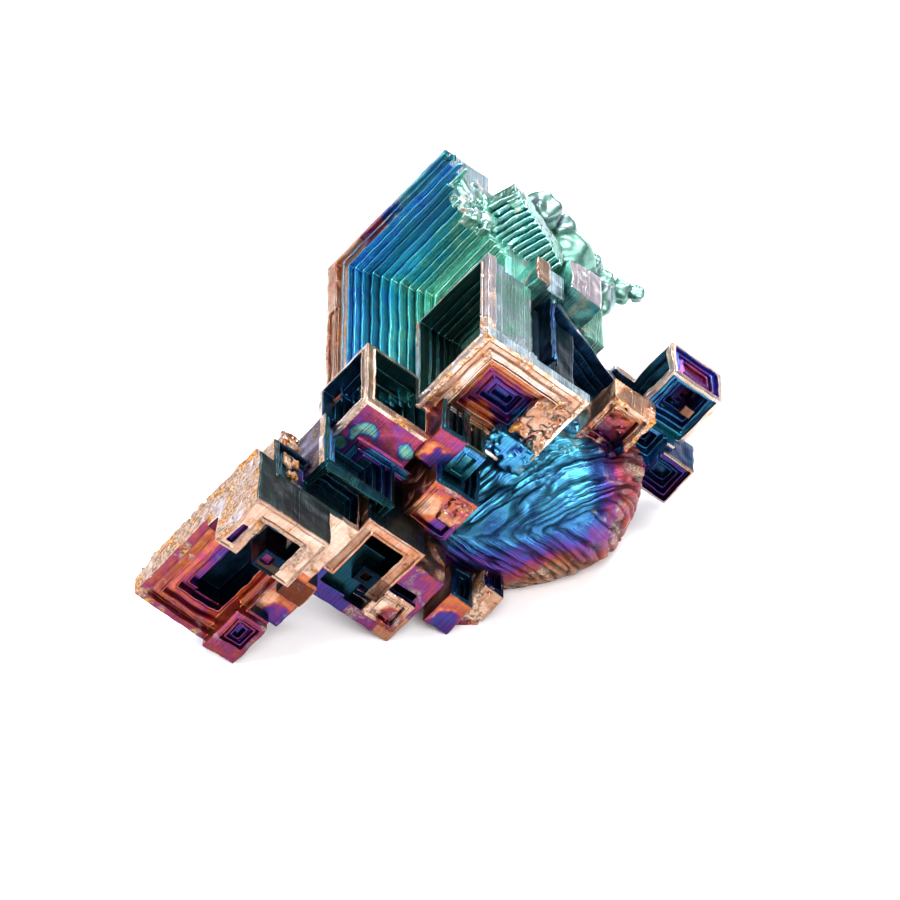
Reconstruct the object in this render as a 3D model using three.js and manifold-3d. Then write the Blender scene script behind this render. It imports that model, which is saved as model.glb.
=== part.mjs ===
// Bismuth hopper crystal: a cluster of stepped cubic crystals grown together as one solid.
//
// Units are millimetres, +Z is up, -Y is the side that is seen first, and z = 0 is the surface
// that the cluster lies on. All the crystals share one cubic lattice. Its axes are
//   a  down to the right,  b  down to the left,  c  straight back along +Y,
// so a crystal is a box in (a, b, c), and the lattice is one turn about the Y axis.

import * as THREE from "three";
import { mergeVertices } from "three/addons/utils/BufferGeometryUtils.js";
import Module from "manifold-3d";

const wasm = await Module();
wasm.setup();

// Driving dimensions
const LATTICE_TURN = 39.35; // degrees from +X down to the a axis
const CENTRE_SHIFT = { x: 1.76, y: 14.65 }; // moves the middle of the cluster to x = 0, y = 0
const RIM = 1.35; // width of the raised rim round a hopper
const STEP = 0.8; // run of one terrace
const DROP = 0.9; // height of one terrace
const SKIN = 0.4; // how far a cut stands clear of the face that it opens
const LEAST_CUT = 0.2; // a step of a pit narrower than this is left out
const WELD = 1e-4; // corners of a shape that are closer than this are one
const STACK_TURN = 18.7; // degrees about the c axis, from a towards b, of the stack at the top
const FLOOR_SLAB = { width: 200, depth: 40 }; // what is ground away below z = 0

const AXES = ["a", "b", "c"];

// The matrices that take lattice coordinates to the frame of the part, and places in the
// cluster's own directions, before it is centred, to lattice coordinates.
const turn = THREE.MathUtils.degToRad(LATTICE_TURN);
const latticeTurn = new THREE.Matrix4().makeBasis(
  new THREE.Vector3(Math.cos(turn), 0, -Math.sin(turn)),
  new THREE.Vector3(-Math.sin(turn), 0, -Math.cos(turn)),
  new THREE.Vector3(0, 1, 0),
);
const centring = new THREE.Matrix4().makeTranslation(CENTRE_SHIFT.x, CENTRE_SHIFT.y, 0);
const latticeToPart = centring.multiply(latticeTurn);
const uprightToLattice = latticeTurn.clone().invert();

// A closed three.js geometry as a solid that can be joined and cut.
function solid(geometry) {
  const bare = geometry.clone();
  bare.deleteAttribute("normal");
  bare.deleteAttribute("uv");
  const merged = mergeVertices(bare, WELD);
  return new wasm.Manifold(
    new wasm.Mesh({
      numProp: 3,
      vertProperties: merged.attributes.position.array,
      triVerts: new Uint32Array(merged.index.array),
    }),
  );
}

// A turn about the c axis through a corner, in degrees from a towards b.
function turnAbout([a, b], degrees) {
  const angle = THREE.MathUtils.degToRad(degrees);
  const there = new THREE.Matrix4().makeTranslation(a, b, 0);
  const back = new THREE.Matrix4().makeTranslation(-a, -b, 0);
  return there.multiply(new THREE.Matrix4().makeRotationZ(angle)).multiply(back);
}

// A box between two corners, each given as [a, b, c], in its turn from the lattice.
function block(low, high, turned) {
  const size = high.map((value, i) => value - low[i]);
  const middle = high.map((value, i) => (value + low[i]) / 2);
  return solid(new THREE.BoxGeometry(...size).translate(...middle).applyMatrix4(turned));
}

// A stepped pit in one face of the box low..high. The face is named by its axis and sign, as in
// "-c". Step k of the pit is smaller by k runs and deeper by k drops. rims gives the rim's width
// at the low and high end of the two other axes, and a negative width opens the pit there.
function hopper(low, high, face, pit, turned) {
  const { steps = 4, rims = {}, run = STEP, drop = DROP, first = DROP } = pit;
  const axis = AXES.indexOf(face[1]);
  const cuts = [];
  for (let k = 0; k < steps; k += 1) {
    const from = [...low];
    const to = [...high];
    AXES.forEach((name, i) => {
      if (i === axis) return;
      const [start, end] = rims[name] ?? [RIM, RIM];
      from[i] += start < 0 ? -SKIN : start + k * run;
      to[i] -= end < 0 ? -SKIN : end + k * run;
    });
    const depth = first + k * drop;
    if (face[0] === "-") {
      to[axis] = low[axis] + depth;
      from[axis] = low[axis] - SKIN;
    } else {
      from[axis] = high[axis] - depth;
      to[axis] = high[axis] + SKIN;
    }
    if (AXES.every((name, i) => to[i] - from[i] > LEAST_CUT)) cuts.push(block(from, to, turned));
  }
  return wasm.Manifold.union(cuts);
}

// One crystal: a box at the corner `at`, with its size along a, b and c, less its pits. It may be
// turned about the c axis through that corner.
function crystal({ at, size, pits = {}, turnDegrees = 0 }) {
  const turned = turnAbout(at, turnDegrees);
  const high = at.map((value, i) => value + size[i]);
  const body = block(at, high, turned);
  const cuts = Object.entries(pits).map(([face, pit]) => hopper(at, high, face, pit, turned));
  return cuts.length ? body.subtract(wasm.Manifold.union(cuts)) : body;
}

// The large hopper at the top left. Its open face looks up and to the left, and the terraces
// run down from the back rim and the left rim.
const bigHopper = {
  at: [-18.75, -20.9, -17],
  size: [11.5, 15.8, 23.4],
  pits: {
    "-a": { steps: 9, run: 0.6, drop: 0.88, rims: { b: [-1, 2.7], c: [-1, 2.7] } },
    "+c": { steps: 4 },
    "+b": { steps: 4, rims: { a: [RIM, RIM], c: [9, RIM] } },
  },
};

// What is left of its upper right end, which has crumbled away below.
const hopperCap = { at: [-18.75, -22.1, 3.4], size: [5.15, 1.4, 3] };

// The post in the middle, which stands out in front of the large hopper.
const middlePost = {
  at: [-14.2, -22.7, -20],
  size: [11.7, 10.2, 13],
  pits: {
    "-c": { steps: 6, run: 0.6, drop: 0.5, rims: { a: [1.6, 1.6], b: [1.6, 1.6] } },
    "-b": { steps: 2, run: 0.5, drop: 0.6, first: 1.6, rims: { a: [5.6, -1], c: [1.4, -1] } },
    "-a": { steps: 3, rims: { b: [2.2, 1.1], c: [2.2, 3] } },
  },
};

// The cube with the raspberry face, in front of the left rim of the large hopper.
const raspberryCube = {
  at: [-19.8, -12.6, -24],
  size: [7.2, 6.9, 9],
  pits: {
    "-a": { steps: 3, rims: { b: [1.1, 1.1], c: [1.2, 1.2] } },
    "-b": { steps: 2, rims: { a: [1, 1], c: [1.2, 1.2] } },
  },
};

// The crystal at the far left, in two levels: the front one ends in a hooked arm.
const leftFront = {
  at: [-26.4, -5.7, -37.6],
  size: [8.1, 7.3, 6.4],
  pits: { "-c": { steps: 2, drop: 1.4, rims: { a: [1.5, 1.4], b: [1.5, 1.3] } } },
};
const leftBack = {
  at: [-24.8, -5.7, -32.5],
  size: [9.8, 17.9, 5.6],
  pits: {
    "-c": { steps: 4, rims: { a: [0.3, 1.2], b: [1.3, 1.3] } },
    "+c": { steps: 2, rims: { a: [2, RIM], b: [8, RIM] } },
    "+b": { steps: 2, rims: { a: [1, 1], c: [1, 1] } },
  },
};
const leftRim = { at: [-26.4, -5.7, -32.5], size: [1.7, 17.9, 2.1] };
// The gap that parts the end of the front arm from its hook.
const leftSlot = { at: [-24.9, -1.7, -38], size: [3, 3.6, 5.5] };

// The crystal low in the middle, again a hooked front level on a longer back level.
const lowFront = {
  at: [-14.6, -6.6, -31],
  size: [6.3, 6.9, 8],
  pits: { "-c": { steps: 3, rims: { a: [1.1, 1.1], b: [1.1, 1.1] } } },
};
const lowBack = {
  at: [-14.4, -4.6, -29.8],
  size: [10.1, 8.2, 10],
  pits: {
    "-c": { steps: 2, rims: { a: [4, 1.2], b: [2.6, 1.2] } },
    "+b": { steps: 3, rims: { a: [1.1, 1.1], c: [1.2, 1.2] } },
  },
};

// Crystals that join the left end to the middle, mostly under crust.
const links = [
  { at: [-23.7, -5.2, -31.6], size: [7, 6, 5.4] },
  { at: [-21, -8.2, -29.6], size: [8, 7.4, 7.4] },
  { at: [-18.6, -3, -29], size: [9, 6, 10], pits: { "+b": { steps: 2 } } },
];

// Small blocks between the raspberry cube, the post and the ribbed body.
const smallBlocks = [
  {
    at: [-10.9, -11.4, -27],
    size: [4.9, 5, 7],
    pits: { "-c": { steps: 2, rims: { a: [1, 1], b: [1, 1] } } },
  },
  { at: [-13, -14.6, -24.5], size: [3, 4.2, 6] },
  { at: [-2.9, -3.6, -29], size: [2.6, 4, 5] },
  { at: [-0.4, -5.4, -27.4], size: [2.3, 6, 4.4] },
  { at: [-8.4, -1.2, -30.2], size: [3.6, 3.6, 5] },
  { at: [-17.6, 3.4, -31.4], size: [4, 4.4, 4] },
];

// The long dark crystal to the right of the post, turned as the stack is. Its upper face is a
// deep open trough.
const darkCrystal = {
  at: [-6.1, -21.8, -15],
  size: [12.4, 8, 10.2],
  turnDegrees: STACK_TURN,
  pits: { "-b": { steps: 4, first: 1.6, drop: 1.3, run: 0.6, rims: { a: [-1, 0.9], c: [0.9, 0.9] } } },
};
const tanBlock = {
  at: [1.3, -21.9, -14.4],
  size: [4.8, 6.2, 3],
  pits: { "-c": { steps: 2, rims: { a: [0.9, 0.9], b: [0.9, 0.9] } } },
};

// The crystals at the far right: one with pits on two faces, and a blade below it.
const farRight = {
  at: [6.2, -24.2, -8.6],
  size: [5.8, 6, 4.6],
  pits: {
    "-a": { steps: 3, rims: { b: [0.9, -1], c: [0.9, 0.9] } },
    "-b": { steps: 2, run: 0.7, drop: 0.5, first: 0.5, rims: { a: [0.8, 0.8], c: [0.9, 0.8] } },
    "+c": { steps: 2 },
  },
};
const farRightParts = [
  {
    at: [4.6, -19.4, -10],
    size: [6.6, 4.4, 5],
    pits: { "-c": { steps: 3, rims: { a: [1, 1.2], b: [1.2, 0.9] } } },
  },
  { at: [3.8, -18.9, -9.4], size: [6.4, 7.5, 5.6], pits: { "+c": { steps: 3 } } },
];

// Blocks of the upper stack and behind the post.
const stackParts = [
  { at: [-9.2, -19.2, -1], size: [8, 8, 7] },
  { at: [-4.9, -23.3, -4.6], size: [3.6, 5, 4.6] },
  { at: [-7.2, -22.6, -6], size: [2, 5, 3.4] },
  { at: [-2.6, -20.4, -5.2], size: [4, 9, 8.4], pits: { "+c": { steps: 3 } } },
];

// The terraced stack at the top. It shares the c axis but is turned a little about it, and the
// ledges on its front climb to the back.
const terraceStack = {
  at: [-12.7, -25, -0.6],
  size: [8, 5.4, 3.4],
  turnDegrees: STACK_TURN,
  pits: { "-c": { steps: 11, run: 0.62, drop: 0.16, first: 0.2, rims: { a: [-1, 0.6], b: [-1, -1] } } },
};

// Crystals underneath and behind, which carry the cluster on the surface.
const footing = [
  { at: [-9, -13, -17], size: [9.6, 12.4, 17], pits: { "+b": { steps: 4 } } },
  { at: [-13, -9, -20], size: [9, 9.4, 16], pits: { "+b": { steps: 3 } } },
  { at: [-2, -16.4, -14], size: [9, 7, 12], pits: { "+a": { steps: 4, run: 0.7 } } },
  { at: [-6, -8, -2], size: [8, 9, 9], pits: { "+c": { steps: 4 } } },
];

// Round blobs that froze on the right end of the stack, each a centre [x, y, z] and a radius.
const blobs = [
  [8.3, 6.5, 21.8, 1.8],
  [10.2, 6.5, 19.8, 1.5],
  [11.6, 6, 18, 1.3],
  [12.8, 5.6, 16.4, 1.3],
  [14, 5, 15.2, 1.2],
  [15.6, 5, 14.2, 1.1],
  [17, 5, 13.9, 0.8],
  [13.4, 3.6, 14.6, 1.9],
  [10.4, 4.4, 18, 2.6],
  [19, -8.6, 4.9, 2.9],
];

// The ribbed body at the lower right: a low dome whose flank and top are combed with grooves.
// Its profile is [radius, height] from the bottom up, with the ridge at the widest point.
const DOME = {
  middle: [7.2, -14.6, 0],
  stretch: 1.1, // along X
  tail: { way: -128, halfWidth: 38, size: 0.34 }, // reaches further out round this way, in degrees
  profile: [
    [0, -0.6],
    [5.4, -0.6],
    [7.8, 1.8],
    [8.9, 5],
    [9.4, 8.4],
    [6.4, 10.6],
    [2.6, 12.6],
    [0, 13.2],
  ],
  ribs: 34,
  groove: 0.4,
  smoothTop: 3, // inside this radius there are no grooves
};

function ribbedBody() {
  const profile = DOME.profile.map(([radius, height]) => new THREE.Vector2(radius, height));
  const body = new THREE.LatheGeometry(profile, 2 * DOME.ribs);
  const points = body.getAttribute("position");
  const { way, halfWidth, size } = DOME.tail;
  body.rotateX(Math.PI / 2);
  for (let i = 0; i < points.count; i += 1) {
    const [x, y] = [points.getX(i), points.getY(i)];
    const out = Math.hypot(x, y);
    const angle = THREE.MathUtils.radToDeg(Math.atan2(y, x));
    const fromTail = THREE.MathUtils.euclideanModulo(angle - way + 180, 360) - 180;
    const inGroove = out > DOME.smoothTop && Math.round((angle * DOME.ribs) / 180) % 2 !== 0;
    const reach = 1 + size * Math.exp(-((fromTail / halfWidth) ** 2));
    const scale = inGroove ? reach - DOME.groove / out : reach;
    points.setXYZ(i, x * scale, y * scale, points.getZ(i));
  }
  body.scale(DOME.stretch, 1, 1);
  body.translate(...DOME.middle);
  return solid(body.applyMatrix4(uprightToLattice));
}

function blob([x, y, z, radius]) {
  const ball = new THREE.IcosahedronGeometry(radius, 1).translate(x, y, z);
  return solid(ball.applyMatrix4(uprightToLattice));
}

// Everything below the surface is ground away, which leaves small flats to rest on.
function floorCut() {
  const { width, depth } = FLOOR_SLAB;
  const slab = new THREE.BoxGeometry(width, width, depth).translate(0, 0, -depth / 2);
  return solid(slab.applyMatrix4(uprightToLattice));
}

function cluster() {
  const crystals = [
    bigHopper,
    hopperCap,
    middlePost,
    raspberryCube,
    leftFront,
    leftBack,
    lowFront,
    lowBack,
    darkCrystal,
    tanBlock,
    farRight,
    leftRim,
    ...links,
    ...smallBlocks,
    ...farRightParts,
    ...stackParts,
    terraceStack,
    ...footing,
  ];
  const rounded = [ribbedBody(), ...blobs.map(blob)];
  const grown = wasm.Manifold.union([...crystals.map(crystal), ...rounded]);
  return grown.subtract(crystal(leftSlot)).subtract(floorCut());
}

// The largest connected body of the cluster as one named mesh.
const bodies = cluster().decompose();
bodies.sort((one, other) => other.volume() - one.volume());
const { vertProperties, triVerts } = bodies[0].getMesh();
const geometry = new THREE.BufferGeometry();
geometry.setAttribute("position", new THREE.BufferAttribute(vertProperties, 3));
geometry.setIndex(new THREE.BufferAttribute(triVerts, 1));
geometry.applyMatrix4(latticeToPart);
geometry.computeVertexNormals();

const oxide = new THREE.MeshStandardMaterial({
  color: 0x3f6f94,
  roughness: 0.35,
  metalness: 0.9,
  flatShading: true,
});
const bismuth = new THREE.Mesh(geometry, oxide);
bismuth.name = "bismuth_crystal";

const part = new THREE.Group();
part.add(bismuth);

export default part;
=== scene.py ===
import math

import bpy
import numpy as np
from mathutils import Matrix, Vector


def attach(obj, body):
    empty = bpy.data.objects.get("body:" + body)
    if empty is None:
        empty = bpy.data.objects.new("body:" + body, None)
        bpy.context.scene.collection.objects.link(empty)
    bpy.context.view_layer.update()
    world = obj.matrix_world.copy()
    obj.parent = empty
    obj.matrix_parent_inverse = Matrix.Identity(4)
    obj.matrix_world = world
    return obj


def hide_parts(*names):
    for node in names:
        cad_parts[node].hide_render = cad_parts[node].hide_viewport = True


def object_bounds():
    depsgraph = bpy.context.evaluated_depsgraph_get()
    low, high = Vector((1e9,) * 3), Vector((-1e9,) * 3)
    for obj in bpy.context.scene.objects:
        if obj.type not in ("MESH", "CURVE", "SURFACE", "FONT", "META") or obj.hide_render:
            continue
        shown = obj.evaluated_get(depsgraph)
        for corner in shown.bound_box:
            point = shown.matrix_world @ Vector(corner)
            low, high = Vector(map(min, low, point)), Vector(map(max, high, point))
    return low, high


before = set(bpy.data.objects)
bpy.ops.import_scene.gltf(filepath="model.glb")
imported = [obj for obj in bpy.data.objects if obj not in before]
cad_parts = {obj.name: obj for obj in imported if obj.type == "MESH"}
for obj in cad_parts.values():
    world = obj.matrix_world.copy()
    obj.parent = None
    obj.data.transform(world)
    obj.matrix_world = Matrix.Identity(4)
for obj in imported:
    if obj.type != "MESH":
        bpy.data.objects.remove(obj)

cad_low, cad_high = [np.array(corner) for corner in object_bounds()]

# The large hopper at the top left: a skeleton cube of bismuth that grew from the melt faster at
# its edges than on its faces. Its open face looks up and to the left, and terraces run down from
# the tan left rim and the azure back rim. The film goes from blue there to pale green below.

# All the crystals of the cluster grew as stepped cubes on one cubic lattice, here with its a axis
# down to the right, its b axis down to the left and its c axis straight back. A place on it is in
# millimetres, as in the solid that the model was packed from.
MM = 0.001
LATTICE_TURN = math.radians(39.35)
CENTRE_SHIFT = (1.76, 14.65)
NODE = "bismuth_crystal"


def upright(points):
    """Lattice places as places in the part's own directions: one turn about the Y axis, then
    the shift that centres the cluster over its footprint."""
    a, b, c = points.T
    x = a * math.cos(LATTICE_TURN) - b * math.sin(LATTICE_TURN) + CENTRE_SHIFT[0]
    z = -a * math.sin(LATTICE_TURN) - b * math.cos(LATTICE_TURN)
    return np.stack([x, c + CENTRE_SHIFT[1], z], axis=1)


def wander(points, wave, seed):
    """Smooth noise from -1 to 1: random values on a cubic grid with spacing wave, blended
    between the eight grid points round each place by smooth steps."""
    scaled = points / wave
    base = np.floor(scaled).astype(np.int64)
    part = scaled - base
    part = part * part * (3 - 2 * part)
    total = np.zeros(len(points))
    for corner in np.ndindex(2, 2, 2):
        cell = base + corner
        mixed = (cell[:, 0] * 73856093) ^ (cell[:, 1] * 19349663) ^ (cell[:, 2] * 83492791)
        mixed = (mixed ^ (seed * 7919)) & 0x7FFFFFFF
        mixed = ((mixed ^ (mixed >> 13)) * 1274126177) & 0x7FFFFFFF
        value = ((mixed >> 8) % 65536) / 32767.5 - 1
        total += value * np.prod(np.where(corner, part, 1 - part), axis=1)
    return total


# Molten bismuth is grown into crystals and lifted out hot, and air puts an oxide film on it. The
# film's thickness sets the colour that it shows, from straw and copper through magenta, violet
# and blue to teal and pale green. Where it was thickest it is a dull tan crust.
FILM_COLOURS = [
    (0.00, "#C8BEC6"),
    (0.10, "#C4AEA0"),
    (0.20, "#A88874"),
    (0.29, "#A25E38"),
    (0.37, "#8C3E58"),
    (0.46, "#5C3A84"),
    (0.55, "#30508E"),
    (0.65, "#4A8CB4"),
    (0.75, "#42929E"),
    (0.85, "#74A89C"),
    (0.93, "#94C2B2"),
    (1.00, "#96A6B0"),
]
CRUST_COLOURS = [(0.25, "#32241E"), (0.42, "#705848"), (0.55, "#A68C7A"), (0.75, "#CCBAAC")]
GOLD_COLOURS = [(0.3, "#2E1A10"), (0.45, "#7A4A20"), (0.58, "#C08A3C"), (0.75, "#EBCB8C")]
GOLD_PATCH = 1.6 * MM  # size of the glassy gold patches in the crust
LINE_WIDTH = 0.14 * MM  # growth lines along the lattice
LINE_WAVER = 0.3 * MM  # how far they waver
LINE_FILM = 0.03  # how much the film changes at a growth line
# Painted light and shade of fine ridges: along the growth lines the colour is multiplied by a value between
# these two.
LINE_SHADE = (0.6, 1.3)  # the darkest and the lightest growth line
FILM_CLOUD = 2.2 * MM  # size of the patches over which the film's thickness drifts
FILM_DRIFT = 0.075  # how much it drifts
FILM_SPECK = 0.35 * MM  # size of the specks in the film
FILM_TREMBLE = 0.035  # how much it changes in a speck
CRUST_GRAIN = 0.28 * MM
CRUST_SPREAD = 0.45  # how far the crust's amount changes over the same patches
METAL_ROUGHNESS = 0.27
ROUND_ROUGHNESS = 0.36
CRUST_ROUGHNESS = 0.6
CRUST_METAL = 0.25  # the crust still lets some metal show
RELIEF = 0.12 * MM  # depth of the grain and the lines in the surface
NOISE_SPAN = {"in_1": 0.3, "in_2": 0.7}  # what the noises mostly stay within


def linear(code):
    """An sRGB hex colour as linear red, green, blue and alpha."""
    parts = [int(code[i : i + 2], 16) / 255 for i in (1, 3, 5)]
    return [p / 12.92 if p <= 0.04045 else ((p + 0.055) / 1.055) ** 2.4 for p in parts] + [1.0]


def add_node(tree, kind, links=(), **settings):
    """A shader node with its settings, and its links as (input, node, output)."""
    node = tree.nodes.new(kind)
    for key, value in settings.items():
        if key.startswith("in_"):
            node.inputs[int(key[3:])].default_value = value
        else:
            setattr(node, key, value)
    for name, source, output in links:
        tree.links.new(source.outputs[output], node.inputs[name])
    return node


def colour_stops(node, stops):
    """Puts (place, hex colour) stops on a colour ramp node."""
    elements = node.color_ramp.elements
    while len(elements) < len(stops):
        elements.new(0.5)
    for element, (place, code) in zip(elements, stops):
        element.position = place
        element.color = linear(code)


def oxide_bismuth(name, rounded_off=False):
    """Oxide film on bismuth: the attribute on the surface holds the film's thickness, how much
    crust there is and a painted shade, which darkens the colour, mostly in pits and on faces
    turned from the light, and below zero lightens it as painted light. Noise at the sizes above
    varies all three. Growth lines follow the lattice, or on a rounded body the ribs, by its comb
    attribute, and carry painted light and shade as well."""
    material = bpy.data.materials.new(name)
    material.use_nodes = True
    tree = material.node_tree
    tree.nodes.clear()
    growth_and_shade = add_node(tree, "ShaderNodeAttribute", attribute_name="growth_and_shade")
    parts = add_node(tree, "ShaderNodeSeparateXYZ", [(0, growth_and_shade, "Vector")])
    place = add_node(tree, "ShaderNodeTexCoord")
    cloud = add_node(tree, "ShaderNodeTexNoise", [("Vector", place, "Object")])
    cloud.inputs["Scale"].default_value = 1 / FILM_CLOUD
    cloud.inputs["Detail"].default_value = 5
    cloud.inputs["Distortion"].default_value = 0.6
    fine = add_node(tree, "ShaderNodeTexNoise", [("Vector", place, "Object")])
    fine.inputs["Scale"].default_value = 1 / FILM_SPECK
    fine.inputs["Detail"].default_value = 3
    lattice = add_node(
        tree, "ShaderNodeVectorRotate", [("Vector", place, "Object")], rotation_type="Y_AXIS",
    )
    lattice.inputs["Angle"].default_value = -LATTICE_TURN
    axes = add_node(tree, "ShaderNodeSeparateXYZ", [(0, lattice, "Vector")])
    rulings = [(axes, "X", 0.75), (axes, "Y", 0.1), (axes, "Z", 0.15)]
    if rounded_off:
        comb = add_node(tree, "ShaderNodeAttribute", attribute_name="comb")
        rulings = [(comb, "Fac", 1.0)]
    lines = None
    for source, output, weight in rulings:
        waver = add_node(
            tree, "ShaderNodeMath", [(0, cloud, "Fac"), (2, source, output)], operation="MULTIPLY_ADD",
        )
        waver.inputs[1].default_value = LINE_WAVER
        line = add_node(tree, "ShaderNodeTexNoise", [("W", waver, 0)], noise_dimensions="1D")
        line.inputs["Scale"].default_value = 1 / LINE_WIDTH
        line.inputs["Detail"].default_value = 2
        sums = [(0, line, "Fac")] + ([(2, lines, 0)] if lines else [])
        lines = add_node(tree, "ShaderNodeMath", sums, operation="MULTIPLY_ADD", in_1=weight, in_2=0.0)
    drift = add_node(
        tree, "ShaderNodeMapRange", [(0, cloud, "Fac")], in_1=0.25, in_2=0.75, in_3=-FILM_DRIFT,
        in_4=FILM_DRIFT,
    )
    tremble = add_node(
        tree, "ShaderNodeMapRange", [(0, fine, "Fac")], in_1=0.2, in_2=0.8, in_3=-FILM_TREMBLE,
        in_4=FILM_TREMBLE,
    )
    film = add_node(tree, "ShaderNodeMath", [(0, parts, "X"), (1, drift, "Result")], operation="ADD")
    film = add_node(tree, "ShaderNodeMath", [(0, film, 0), (1, tremble, "Result")], operation="ADD")
    streak = add_node(
        tree, "ShaderNodeMapRange", [(0, lines, 0)], **NOISE_SPAN, in_3=-LINE_FILM, in_4=LINE_FILM,
    )
    film = add_node(tree, "ShaderNodeMath", [(0, film, 0), (1, streak, "Result")], operation="ADD")
    colour = add_node(tree, "ShaderNodeValToRGB", [("Fac", film, 0)])
    colour_stops(colour, FILM_COLOURS)

    grain = add_node(tree, "ShaderNodeTexNoise", [("Vector", place, "Object")])
    grain.inputs["Scale"].default_value = 1 / CRUST_GRAIN
    grain.inputs["Detail"].default_value = 6
    grain.inputs["Roughness"].default_value = 0.65
    tan = add_node(tree, "ShaderNodeValToRGB", [("Fac", grain, "Fac")])
    colour_stops(tan, CRUST_COLOURS)
    gold = add_node(tree, "ShaderNodeValToRGB", [("Fac", grain, "Fac")])
    colour_stops(gold, GOLD_COLOURS)
    patch = add_node(tree, "ShaderNodeTexNoise", [("Vector", place, "Object")])
    patch.inputs["Scale"].default_value = 1 / GOLD_PATCH
    patch.inputs["Detail"].default_value = 3
    patch = add_node(
        tree, "ShaderNodeMapRange", [(0, patch, "Fac")], in_1=0.52, in_2=0.62,
        interpolation_type="SMOOTHSTEP",
    )
    tan = add_node(
        tree, "ShaderNodeMix", [(0, patch, "Result"), (6, tan, "Color"), (7, gold, "Color")],
        data_type="RGBA",
    )
    spread = add_node(
        tree, "ShaderNodeMapRange", [(0, cloud, "Fac")], **NOISE_SPAN, in_3=-CRUST_SPREAD,
        in_4=CRUST_SPREAD,
    )
    crust = add_node(tree, "ShaderNodeMath", [(0, parts, "Y"), (1, spread, "Result")], operation="ADD")
    crust = add_node(
        tree, "ShaderNodeMapRange", [(0, crust, 0)], in_1=0.35, in_2=0.75, interpolation_type="SMOOTHSTEP",
    )
    surface = add_node(
        tree, "ShaderNodeMix", [(0, crust, "Result"), (6, colour, "Color"), (7, tan, 2)], data_type="RGBA",
    )
    # Painted shade and light: the colour is multiplied by one less the shade, and away from the crust by
    # the painted light and shade of the growth lines.
    shade = add_node(tree, "ShaderNodeMath", [(1, parts, "Z")], operation="SUBTRACT", in_0=1.0)
    stripe = add_node(
        tree, "ShaderNodeMapRange", [(0, lines, 0)], **NOISE_SPAN, in_3=LINE_SHADE[0], in_4=LINE_SHADE[1],
    )
    stripe = add_node(
        tree, "ShaderNodeMix", [(0, crust, "Result"), (2, stripe, "Result")], data_type="FLOAT", in_3=1.0,
    )
    shade = add_node(tree, "ShaderNodeMath", [(0, shade, 0), (1, stripe, 0)], operation="MULTIPLY")
    depth = add_node(
        tree, "ShaderNodeMix", [(6, surface, 2), (7, shade, 0)], data_type="RGBA", blend_type="MULTIPLY",
        in_0=1.0,
    )

    milky = add_node(tree, "ShaderNodeMapRange", [(0, film, 0)], in_1=1.0, in_2=1.15)
    dull = add_node(
        tree, "ShaderNodeMath", [(0, crust, "Result"), (1, milky, "Result")], operation="MAXIMUM",
    )
    metal = add_node(tree, "ShaderNodeMapRange", [(0, dull, 0)], in_3=1.0, in_4=CRUST_METAL)
    smooth = ROUND_ROUGHNESS if rounded_off else METAL_ROUGHNESS
    gloss = add_node(tree, "ShaderNodeMapRange", [(0, dull, 0)], in_3=smooth, in_4=CRUST_ROUGHNESS)
    rub = add_node(
        tree, "ShaderNodeMath", [(0, fine, "Fac"), (2, gloss, "Result")], operation="MULTIPLY_ADD",
        in_1=0.12,
    )
    height = add_node(
        tree, "ShaderNodeMath", [(0, grain, "Fac"), (1, crust, "Result")], operation="MULTIPLY",
    )
    height = add_node(
        tree, "ShaderNodeMath", [(0, fine, "Fac"), (2, height, 0)], operation="MULTIPLY_ADD", in_1=0.3,
    )
    height = add_node(
        tree, "ShaderNodeMath", [(0, lines, 0), (2, height, 0)], operation="MULTIPLY_ADD", in_1=0.5,
    )
    relief = add_node(tree, "ShaderNodeBump", [("Height", height, 0)])
    relief.inputs["Strength"].default_value = 0.55
    relief.inputs["Distance"].default_value = RELIEF
    shader = add_node(
        tree,
        "ShaderNodeBsdfPrincipled",
        [
            ("Base Color", depth, 2), ("Metallic", metal, "Result"), ("Roughness", rub, 0),
            ("Normal", relief, "Normal"),
        ],
    )
    add_node(tree, "ShaderNodeOutputMaterial", [("Surface", shader, "BSDF")])
    return material


OXIDE = oxide_bismuth("oxide_film_and_shade_on_bismuth")

# A stepped crystal is worked out as cells between grid lines along a, b and c: boxes of cells are
# grown and cut in order, and the surface is every cell wall between metal and air.
CELL = 0.34  # widest cell, mm
SOFTEN = 0.09  # distance from an edge to the line that rounds it, mm
WIDE_GAP = 0.3  # gap between marks that gets such lines, mm
LEAST_GAP = 0.05  # marks closer than this become one, mm
LEAST_STEP = 0.12  # a step of a pit narrower than this is left out, mm
FACET_FILM = (-0.03, 0.035, 0.0)  # the film differs a little between faces across a, b and c
AXES = "abc"
PATCH_EDGE = 0.25  # width of the edge of a patch of another colour, mm


def grow(low, high, film=None, crust=None, shade=None):
    """A box of metal. Here and below, a mark that is None stays what it was before the box."""
    return (True, low, high, film, crust, shade)


def cut(low, high, film=None, crust=0.0, shade=None):
    """A box of air. Its marks also go to the metal one cell round it."""
    return (False, low, high, film, crust, shade)


def paint(low, high, film=None, crust=None, shade=None):
    """A box in which the marks change and the metal stays."""
    return (None, low, high, film, crust, shade)


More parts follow.
